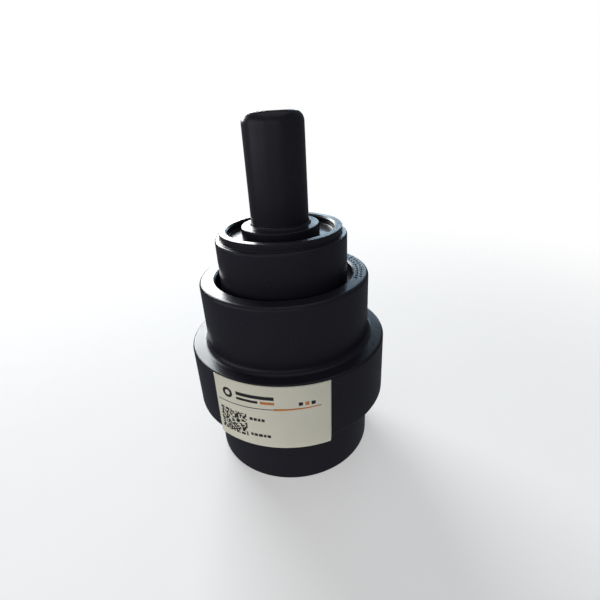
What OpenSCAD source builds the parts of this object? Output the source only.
// Single-ended track roller, standing on the outer end of its shell.
// Origin: centre of the shell's outer end face. +Z runs along the shaft, towards its bare end.

/* [Shell] */
// Diameter of the two treads
tread_d = 92; // [91:0.5:98]
// Diameter of the guide flange between them
flange_d = 110; // [104:0.5:120]
// Height of each tread and of the flange
zone_h = 36; // [34:0.5:42]
// Edge rounding of the treads
tread_round = 2; // [0.5:0.25:3]
// Edge rounding of the flange
flange_round = 1.4; // [0.5:0.1:3]
// Fillet between tread and flange
tread_fillet = 3; // [1:0.25:4]
// Diameter of the hole in the shell round the seal housing
mouth_d = 75.2; // [73:0.2:78]

/* [Seal housing] */
// Diameter of the housing
housing_d = 69.4; // [69:0.1:71]
// Diameter of the lip on its top
lip_d = 64.4; // [62:0.2:66]
// Diameter of the recess inside the lip
recess_d = 56.2; // [50:0.2:58]
// Height of the rim above the shell
housing_stand = 25.2; // [20:0.1:30]
// Height of the lip above the step round it
lip_h = 3.8; // [2:0.1:6]
// Depth of the recess
recess_depth = 4.1; // [2:0.1:6]

/* [Shaft] */
// Diameter of the shaft and bore of the bearings
shaft_d = 30; // [29:0.1:30]
// Bare length of the shaft above the shoulder
shaft_stand = 53.1; // [30:0.1:80]
// Rounding of the shaft's bare end
shaft_end_round = 5; // [1:0.5:8]
// Diameter of the shoulder
shoulder_d = 41; // [38:0.5:46]
// Height of the shoulder's top above the shell
shoulder_stand = 26.7; // [24:0.1:34]

/* [Bearings] */
// Outside diameter of both ball bearings
bearing_d = 62; // [61:0.5:62]
// Width of each bearing
bearing_w = 16; // [15:0.5:17]
// Balls in each bearing
ball_count = 9; // [6:1:9]
// Diameter of the balls
ball_d = 9.5; // [8:0.1:9.6]

/* [Label] */
// Length of the label round the flange
label_w = 61.5; // [30:0.5:80]
// Height of the label
label_h = 38.8; // [20:0.1:44]
// Thickness of the label
label_t = 0.25; // [0.15:0.05:0.4]
// Height of the label's middle above the shell's outer end
label_z = 52.4; // [46:0.1:56]
// Turn of the label's middle from the front towards +X, in degrees
label_turn = -12.8; // [-180:0.1:180]
// Slope of the label as it was stuck on, in degrees
label_slope = 1; // [-2:0.1:2]

/* [Hidden] */
$fn = 96;
eps = 0.01;

// Shell
tread_r = tread_d / 2;
flange_r = flange_d / 2;
shell_h = 3 * zone_h;
mouth_r = mouth_d / 2;
mouth_depth = 10;
mouth_chamfer = 0.8;
bore_r = bearing_d / 2;
rib_r = bore_r - 3.5;
cover_seat_r = 34;
cover_seat_chamfer = 0.8;

// Shaft
shaft_r = shaft_d / 2;
shoulder_r = shoulder_d / 2;
shoulder_top_z = shell_h + shoulder_stand;
shoulder_round = 0.6;
shoulder_fillet = 1.5;
shaft_top_z = shoulder_top_z + shaft_stand;
shaft_low_z = 11.5;
shaft_low_chamfer = 1;
centre_drill_r = 4;
centre_hole_r = 1.6;
centre_hole_depth = 9;

// Seal housing
housing_r = housing_d / 2;
lip_r = lip_d / 2;
recess_r = recess_d / 2;
rim_z = shell_h + housing_stand;
step_z = rim_z - lip_h;
recess_floor_z = rim_z - recess_depth;
housing_round = 1.2;
lip_round = 0.4;
lip_fillet = 0.5;
skirt_chamfer = 0.8;
recess_chamfer = 0.8;
recess_fillet = 0.8;
shoulder_seat_depth = 4;
shoulder_seat_z = recess_floor_z - shoulder_seat_depth;
hub_r = 19.2;

// Face seal: two mirror-image halves that meet at seal_z
seal_z = shell_h - mouth_depth;
seal_gap = 0.1;
seal_bore_r = 23.2;
seal_face_r = 30;
seal_face_t = 3;
seal_h = 10;
seal_bevel = 0.6;
barrel_r = 26.1;
ramp_angle = 10;
ramp_r = 31.76;
ramp_depth = 11.5;
toric_r = 28.9;
toric_section_r = 2.7;
toric_depth = 6.5;
skirt_gap = 1.5;
ramp_to_floor = 0.5;
housing_floor_z = seal_z + ramp_depth + ramp_to_floor;

// Bearings, counted from the shell's outer end
cover_bearing_z = 16;
ramp_to_bearing = 4.5;
mount_bearing_z = seal_z - ramp_depth - ramp_to_bearing - bearing_w;
ball_r = ball_d / 2;
pitch_r = (shaft_r + bore_r) / 2;
ball_clearance = 0.03;
groove_r = 1.04 * ball_r;
race_t = 4.7;
race_chamfer = 1;
cage_in_r = pitch_r - 2;
cage_out_r = pitch_r + 2;
cage_back = 6.5;
cage_front = 2.5;
pocket_r = ball_r + 0.15;
spacer_r = 18.6;

// End cover
cover_z = 4.2;
cover_t = 5.8;
cover_r = cover_seat_r - 0.02;
cover_bevel = 0.6;
cover_ring_z = 7.1;
cover_ring_section_r = 0.98;
cover_ring_groove_half = 1.3;
cover_ring_groove_depth = 1.95;
spotface_r = 9.5;
spotface_depth = 1.4;
spotface_bevel = 0.4;
plug_thread_r = 5;
plug_thread_bevel = 0.8;
plug_head_r = 7;
plug_head_t = 2.8;
plug_head_bevel = 0.5;
plug_key = 5;
plug_key_depth = 4.6;
washer_r = 7.5;
washer_t = 1;
washer_z = cover_z + spotface_depth - washer_t;
plug_z = washer_z - plug_head_t;

// O-ring between housing and shaft
housing_ring_z = shell_h + 10;
housing_ring_section_r = 1.15;
housing_ring_groove_half = 1.4;

// Circlips: thickness, radial width, depth of the groove behind each
cover_clip_t = 2.5;
bearing_clip_t = 2;
shaft_clip_t = 1.5;
groove_play = 0.1;
clip_groove = 1.5;
clip_lug_trim = 0.4;
cover_clip_w = 3.4;
bearing_clip_w = 3;
shell_clip_lug_in = 0.6;
shell_clip_lug_r = 2.6;
shell_clip_gap = 16;
shaft_clip_w = 2.3;
shaft_clip_lug_out = 0.7;
shaft_clip_lug_r = 1.9;
shaft_clip_gap = 26;
shaft_groove = 0.7;

// Looks
black_paint = [0.08, 0.08, 0.10];
bright_steel = [0.70, 0.71, 0.73];
seal_iron = [0.42, 0.42, 0.44];
black_rubber = [0.10, 0.10, 0.10];
spring_steel = [0.28, 0.27, 0.27];
cage_plastic = [0.82, 0.76, 0.58];
copper = [0.72, 0.45, 0.30];
label_paper = [0.88, 0.87, 0.82];

// ---- 2D helpers, drawn in the half plane of radius (x) and height (y) ----

// Rectangle between two radii and two heights
module band(r0, r1, z0, z1) {
    translate([r0, z0])
        square([r1 - r0, z1 - z0]);
}

// What a rounding of radius r takes off the convex corner at [x, y], which points along [sx, sy]
module corner_cut(x, y, r, sx, sy) {
    translate([x - sx * r, y - sy * r])
        difference() {
            translate([sx > 0 ? 0 : -r - eps, sy > 0 ? 0 : -r - eps])
                square(r + eps);
            circle(r);
        }
}

// What a fillet of radius r fills in the concave corner at [x, y], which opens along [sx, sy]
module corner_fill(x, y, r, sx, sy) {
    translate([x, y])
        difference() {
            translate([sx > 0 ? -eps : -r, sy > 0 ? -eps : -r])
                square(r + eps);
            translate([sx * r, sy * r])
                circle(r);
        }
}

// Triangle that a 45 degree chamfer takes off the corner at [x, y], which points along [sx, sy]
module corner_bevel(x, y, c, sx, sy) {
    polygon([
        [x + sx * eps, y + sy * eps],
        [x - sx * c, y + sy * eps],
        [x + sx * eps, y - sy * c]
    ]);
}

// ---- 3D helpers ----

// Round ring of circular section
module torus(r, z, section_r) {
    rotate_extrude()
        translate([r, z])
            circle(section_r, $fn = 48);
}

// Internal or external circlip: an open ring with a drilled lug on each side of its gap
module circlip(inner_r, outer_r, z, t, lug_at_r, lug_r, gap_angle) {
    lug_angle = gap_angle / 2 + asin((lug_r - clip_lug_trim) / lug_at_r);
    difference() {
        union() {
            rotate_extrude()
                band(inner_r, outer_r, z, z + t);
            for (side = [-1, 1])
                rotate([0, 0, side * lug_angle])
                    translate([lug_at_r, 0, z])
                        cylinder(r = lug_r, h = t);
        }
        translate([0, 0, z - eps])
            linear_extrude(t + 2 * eps)
                polygon([
                    [0, 0],
                    2 * outer_r * [cos(-gap_angle / 2), sin(-gap_angle / 2)],
                    2 * outer_r * [cos(gap_angle / 2), sin(gap_angle / 2)]
                ]);
        for (side = [-1, 1])
            rotate([0, 0, side * lug_angle])
                translate([lug_at_r, 0, z - eps])
                    cylinder(r = lug_r / 2, h = t + 2 * eps, $fn = 32);
    }
}

// Inner race of a bearing whose lower face is at z
module inner_race(z) {
    mid = z + bearing_w / 2;
    out_r = shaft_r + race_t;
    rotate_extrude()
        difference() {
            band(shaft_r, out_r, z, z + bearing_w);
            translate([pitch_r - ball_r - ball_clearance + groove_r, mid])
                circle(groove_r);
            corner_bevel(shaft_r, z, race_chamfer, -1, -1);
            corner_bevel(shaft_r, z + bearing_w, race_chamfer, -1, 1);
        }
}

// Outer race of a bearing whose lower face is at z
module outer_race(z) {
    mid = z + bearing_w / 2;
    in_r = bore_r - race_t;
    rotate_extrude()
        difference() {
            band(in_r, bore_r, z, z + bearing_w);
            translate([pitch_r + ball_r + ball_clearance - groove_r, mid])
                circle(groove_r);
            corner_bevel(bore_r, z, race_chamfer, 1, -1);
            corner_bevel(bore_r, z + bearing_w, race_chamfer, 1, 1);
        }
}

// Full set of balls of a bearing whose lower face is at z
module ball_set(z) {
    for (i = [0 : ball_count - 1])
        rotate([0, 0, i * 360 / ball_count])
            translate([pitch_r, 0, z + bearing_w / 2])
                sphere(ball_r, $fn = 48);
}

// Crown cage: a ring with a pocket for each ball, open on its front
module crown_cage(z) {
    mid = z + bearing_w / 2;
    difference() {
        rotate_extrude()
            band(cage_in_r, cage_out_r, mid - cage_back, mid + cage_front);
        for (i = [0 : ball_count - 1])
            rotate([0, 0, i * 360 / ball_count])
                translate([pitch_r, 0, mid])
                    sphere(pocket_r, $fn = 48);
    }
}

// Metal ring of the face seal, standing on its lapped face at height 0
module seal_ring() {
    rotate_extrude()
        difference() {
            union() {
                band(seal_bore_r, seal_face_r, seal_gap / 2, seal_face_t);
                polygon([
                    [seal_bore_r, seal_face_t - eps],
                    [barrel_r + (toric_depth - seal_face_t) * tan(ramp_angle), seal_face_t - eps],
                    [barrel_r - (seal_h - toric_depth) * tan(ramp_angle), seal_h],
                    [seal_bore_r, seal_h]
                ]);
            }
            corner_bevel(seal_face_r, seal_face_t, seal_bevel, 1, 1);
            corner_bevel(seal_bore_r, seal_h, seal_bevel, -1, 1);
        }
}

// Hollow that holds one toric ring, above height 0, tapering inwards as it rises
module ramp_hollow(inner_r) {
    polygon([
        [inner_r, -eps],
        [ramp_r + toric_depth * tan(ramp_angle), -eps],
        [ramp_r - (ramp_depth - toric_depth) * tan(ramp_angle), ramp_depth],
        [inner_r, ramp_depth]
    ]);
}

// ---- Fixed pieces ----

module shaft() {
    groove_z = cover_bearing_z - shaft_clip_t - groove_play;
    color(black_paint)
        rotate_extrude()
            difference() {
                union() {
                    band(0, shaft_r, shaft_low_z, shaft_top_z);
                    band(0, shoulder_r, shoulder_seat_z, shoulder_top_z);
                    corner_fill(shaft_r, shoulder_top_z, shoulder_fillet, 1, 1);
                }
                corner_cut(shoulder_r, shoulder_top_z, shoulder_round, 1, 1);
                corner_cut(shaft_r, shaft_top_z, shaft_end_round, 1, 1);
                corner_bevel(shaft_r, shaft_low_z, shaft_low_chamfer, 1, -1);
                band(shaft_r - shaft_groove, shaft_r + eps, groove_z, cover_bearing_z);
                corner_bevel(0, shaft_top_z, centre_drill_r, -1, 1);
                band(0, centre_hole_r, shaft_top_z - centre_hole_depth, shaft_top_z);
                corner_bevel(0, shaft_low_z, centre_drill_r, -1, -1);
                band(0, centre_hole_r, shaft_low_z, shaft_low_z + centre_hole_depth);
            }
}

module seal_housing() {
    groove_low_z = housing_ring_z - housing_ring_groove_half;
    groove_high_z = housing_ring_z + housing_ring_groove_half;
    color(black_paint)
        rotate_extrude()
            difference() {
                union() {
                    band(shaft_r, hub_r, mount_bearing_z + bearing_w, housing_floor_z);
                    band(shaft_r, housing_r, seal_z + skirt_gap, step_z);
                    band(shaft_r, lip_r, step_z - eps, rim_z);
                    corner_fill(lip_r, step_z, lip_fillet, 1, 1);
                }
                translate([0, seal_z])
                    ramp_hollow(hub_r);
                recess();
                corner_cut(lip_r, rim_z, lip_round, 1, 1);
                corner_cut(housing_r, step_z, housing_round, 1, 1);
                corner_bevel(housing_r, seal_z + skirt_gap, skirt_chamfer, 1, -1);
                band(0, shoulder_r, shoulder_seat_z, rim_z);
                band(0, shaft_r + 2 * housing_ring_section_r, groove_low_z, groove_high_z);
            }
}

// Round recess in the housing's top, with a fillet at its floor and a chamfer at its mouth
module recess() {
    band(0, recess_r, recess_floor_z + recess_fillet, rim_z + eps);
    band(0, recess_r - recess_fillet, recess_floor_z, rim_z);
    translate([recess_r - recess_fillet, recess_floor_z + recess_fillet])
        circle(recess_fillet);
    corner_bevel(recess_r, rim_z, recess_chamfer, -1, 1);
}

module housing_o_ring() {
    color(black_rubber)
        torus(shaft_r + housing_ring_section_r, housing_ring_z, housing_ring_section_r);
}

module fixed_seal_ring() {
    color(seal_iron)
        translate([0, 0, seal_z])
            seal_ring();
}

module fixed_toric_ring() {
    color(black_rubber)
        torus(toric_r, seal_z + toric_depth, toric_section_r);
}

module mount_bearing_inner_race() {
    color(bright_steel)
        inner_race(mount_bearing_z);
}

module cover_bearing_inner_race() {
    color(bright_steel)
        inner_race(cover_bearing_z);
}

module bearing_spacer() {
    color(bright_steel)
        rotate_extrude()
            band(shaft_r, spacer_r, cover_bearing_z + bearing_w, mount_bearing_z);
}

module shaft_circlip() {
    color(spring_steel)
        circlip(shaft_r - shaft_groove, shaft_r + shaft_clip_w, cover_bearing_z - shaft_clip_t, shaft_clip_t,
            shaft_r + shaft_clip_w + shaft_clip_lug_out, shaft_clip_lug_r, shaft_clip_gap);
}

// ---- Pieces that turn with the shell ----

module roller_shell() {
    color(black_paint)
        rotate_extrude()
            difference() {
                union() {
                    band(0, tread_r, 0, shell_h);
                    band(0, flange_r, zone_h, 2 * zone_h);
                    corner_fill(tread_r, 2 * zone_h, tread_fillet, 1, 1);
                    corner_fill(tread_r, zone_h, tread_fillet, 1, -1);
                }
                corner_cut(tread_r, shell_h, tread_round, 1, 1);
                corner_cut(tread_r, 0, tread_round, 1, -1);
                corner_cut(flange_r, 2 * zone_h, flange_round, 1, 1);
                corner_cut(flange_r, zone_h, flange_round, 1, -1);
                shell_bore();
            }
}

// Everything that is bored out of the shell
module shell_bore() {
    mount_top_z = mount_bearing_z + bearing_w;
    band(0, rib_r, -eps, shell_h);
    band(0, bore_r, -eps, cover_bearing_z + bearing_w);
    band(0, bore_r, mount_bearing_z, seal_z);
    translate([0, seal_z])
        mirror([0, 1])
            ramp_hollow(0);
    band(0, mouth_r, seal_z, shell_h + eps);
    corner_bevel(mouth_r, shell_h, mouth_chamfer, -1, 1);
    band(0, bore_r + clip_groove, mount_top_z, mount_top_z + bearing_clip_t + groove_play);
    band(0, cover_seat_r, -eps, cover_z + cover_t);
    band(0, cover_seat_r + clip_groove, cover_z - cover_clip_t - groove_play, cover_z);
    corner_bevel(cover_seat_r, 0, cover_seat_chamfer, -1, -1);
}

module label() {
    color(label_paper)
        intersection() {
            difference() {
                cylinder(r = flange_r + label_t, h = shell_h);
                translate([0, 0, -eps])
                    cylinder(r = flange_r, h = shell_h + 2 * eps);
            }
            label_window();
        }
}

// Block that cuts the label out of the thin skin round the flange
module label_window() {
    half_angle = label_w / flange_r * 90 / PI;
    window_w = 2 * flange_r * sin(half_angle);
    rotate([0, 0, label_turn])
        translate([0, -flange_r, label_z])
            rotate([0, label_slope, 0])
                cube([window_w, flange_r, label_h], center = true);
}

module turning_seal_ring() {
    color(seal_iron)
        translate([0, 0, seal_z])
            mirror([0, 0, 1])
                seal_ring();
}

module turning_toric_ring() {
    color(black_rubber)
        torus(toric_r, seal_z - toric_depth, toric_section_r);
}

module mount_bearing_outer_race() {
    color(bright_steel)
        outer_race(mount_bearing_z);
}

module cover_bearing_outer_race() {
    color(bright_steel)
        outer_race(cover_bearing_z);
}

module bearing_circlip() {
    color(spring_steel)
        circlip(bore_r - bearing_clip_w, bore_r + clip_groove - groove_play, mount_bearing_z + bearing_w,
            bearing_clip_t, bore_r - bearing_clip_w - shell_clip_lug_in, shell_clip_lug_r, shell_clip_gap);
}

module end_cover() {
    color(black_paint)
        rotate_extrude()
            difference() {
                band(plug_thread_r, cover_r, cover_z, cover_z + cover_t);
                band(0, spotface_r, cover_z - eps, cover_z + spotface_depth);
                band(cover_r - cover_ring_groove_depth, cover_r + eps, cover_ring_z - cover_ring_groove_half,
                    cover_ring_z + cover_ring_groove_half);
                corner_bevel(cover_r, cover_z + cover_t, cover_bevel, 1, 1);
                corner_bevel(spotface_r, cover_z, spotface_bevel, -1, -1);
            }
}

module cover_o_ring() {
    color(black_rubber)
        torus(cover_r - cover_ring_section_r, cover_ring_z, cover_ring_section_r);
}

module cover_circlip() {
    color(spring_steel)
        circlip(cover_seat_r - cover_clip_w, cover_seat_r + clip_groove - groove_play, cover_z - cover_clip_t,
            cover_clip_t, cover_seat_r - cover_clip_w - shell_clip_lug_in, shell_clip_lug_r, shell_clip_gap);
}

module oil_plug() {
    color(bright_steel)
        difference() {
            rotate_extrude()
                difference() {
                    union() {
                        band(0, plug_head_r, plug_z, washer_z);
                        band(0, plug_thread_r, washer_z - eps, cover_z + cover_t);
                    }
                    corner_bevel(plug_head_r, plug_z, plug_head_bevel, 1, -1);
                    corner_bevel(plug_thread_r, cover_z + cover_t, plug_thread_bevel, 1, 1);
                }
            translate([0, 0, plug_z - eps])
                cylinder(d = plug_key / cos(30), h = plug_key_depth, $fn = 6);
        }
}

module plug_washer() {
    color(copper)
        rotate_extrude()
            band(plug_thread_r, washer_r, washer_z, washer_z + washer_t);
}

// ---- Pieces that turn with each bearing's cage ----

module mount_bearing_cage() {
    color(cage_plastic)
        crown_cage(mount_bearing_z);
}

module mount_bearing_balls() {
    color(bright_steel)
        ball_set(mount_bearing_z);
}

module cover_bearing_cage() {
    color(cage_plastic)
        crown_cage(cover_bearing_z);
}

module cover_bearing_balls() {
    color(bright_steel)
        ball_set(cover_bearing_z);
}

shaft();
seal_housing();
housing_o_ring();
fixed_seal_ring();
fixed_toric_ring();
mount_bearing_inner_race();
cover_bearing_inner_race();
bearing_spacer();
shaft_circlip();
roller_shell();
label();
turning_seal_ring();
turning_toric_ring();
mount_bearing_outer_race();
cover_bearing_outer_race();
bearing_circlip();
end_cover();
cover_o_ring();
cover_circlip();
oil_plug();
plug_washer();
mount_bearing_cage();
mount_bearing_balls();
cover_bearing_cage();
cover_bearing_balls();
